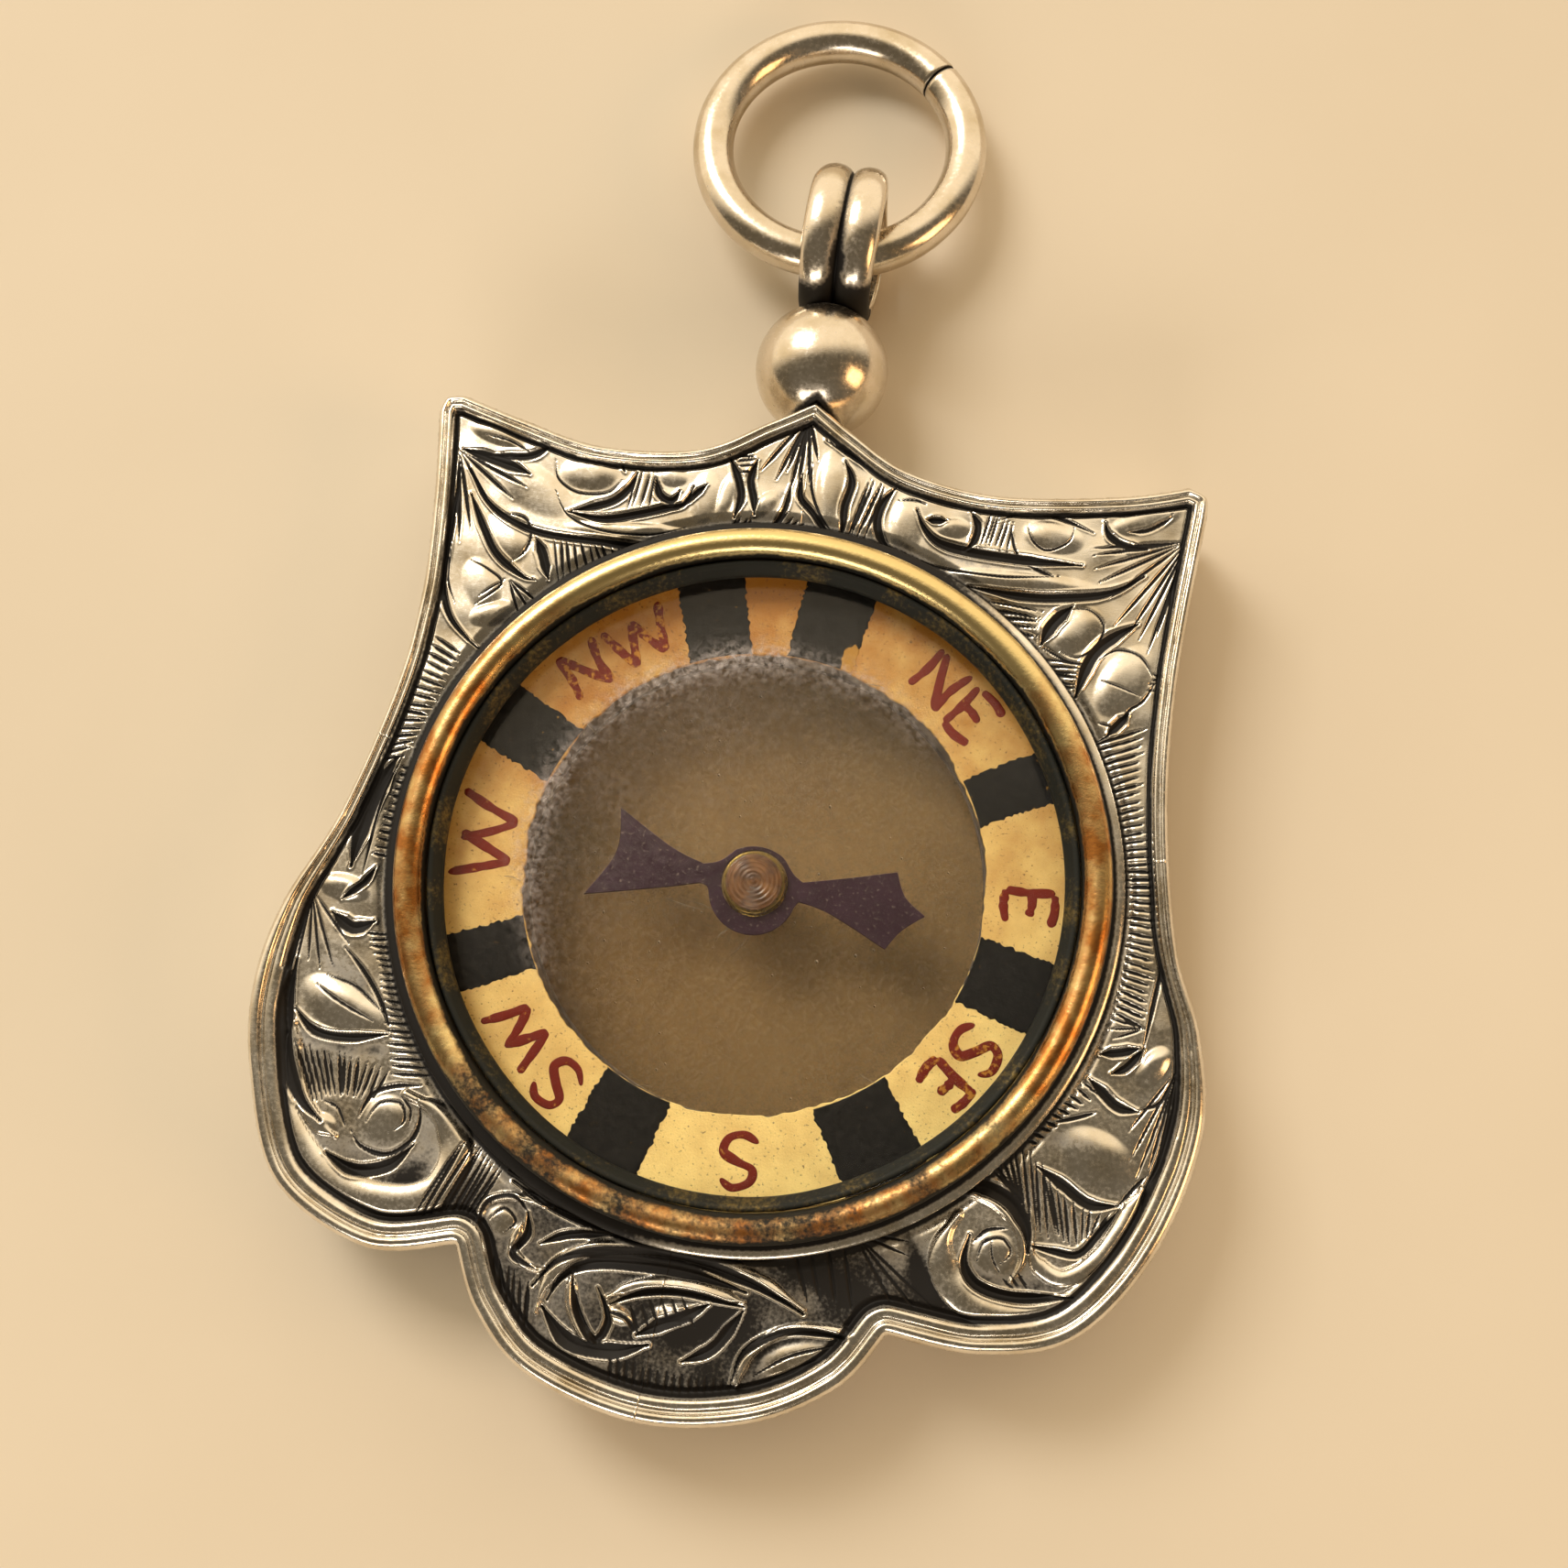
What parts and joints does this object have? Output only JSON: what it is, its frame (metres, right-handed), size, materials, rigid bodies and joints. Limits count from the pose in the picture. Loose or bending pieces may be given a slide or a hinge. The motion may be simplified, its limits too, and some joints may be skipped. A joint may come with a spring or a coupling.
{
  "type": "pocket compass fob",
  "caption": "Shield-shaped silver compass fob: engraved case, glazed brass compass capsule with a swallow-tailed needle, ball finial, reeded bail and split jump ring.",
  "frame": {"origin": "middle of the resting footprint, on the plane of the rear bezel's land that the fob lies on", "axes": "+Z towards the viewer of the dial, +Y from the bottom lobe towards the jump ring, +X towards the east side of the dial"},
  "size_m": [0.0282, 0.0452, 0.0049],
  "materials": {
    "silver": "polished sterling silver, worn, with black tarnish in the cuts",
    "gilt_brass": "gilt brass worn through at the crest",
    "dark_brass": "brass gone olive-black",
    "glass": "old window-clear glass, a little dusty",
    "gilt_paper": "aged gilt paper painted with black bars",
    "pulp_board": "dusty grey-brown pulp board",
    "steel": "hardened steel point",
    "blued_steel": "heat-blued steel faded to aubergine",
    "agate": "polished brown agate"
  },
  "bodies": {
    "case": {"shield_front": "silver", "shield_back": "silver", "case_collar": "silver", "ball_finial": "silver", "bail": "silver", "capsule_drum": "dark_brass", "front_bezel": "gilt_brass", "front_glass_ring": "dark_brass", "front_glass": "glass", "dial_card": "gilt_paper", "dial_support": "pulp_board", "rear_mask": "pulp_board", "rear_glass": "glass", "rear_bezel": "gilt_brass", "pivot_foot": "gilt_brass", "pivot_pin": "steel"},
    "needle": {"compass_needle": "blued_steel", "needle_cap": "gilt_brass", "cap_jewel": "agate"},
    "ring": {"jump_ring": "silver"}
  },
  "joints": [
    {"name": "needle_spin", "type": "hinge", "parent": "case", "child": "needle", "pos_m": [0.00005, -0.00682, 0.0025], "axis": [0, 0, 1], "continuous": true},
    {"name": "ring_swing", "type": "hinge", "parent": "case", "child": "ring", "pos_m": [-0.0007, 0.01363, 0.0021], "axis": [1, 0, 0], "range_deg": [-150, 165]}
  ]
}
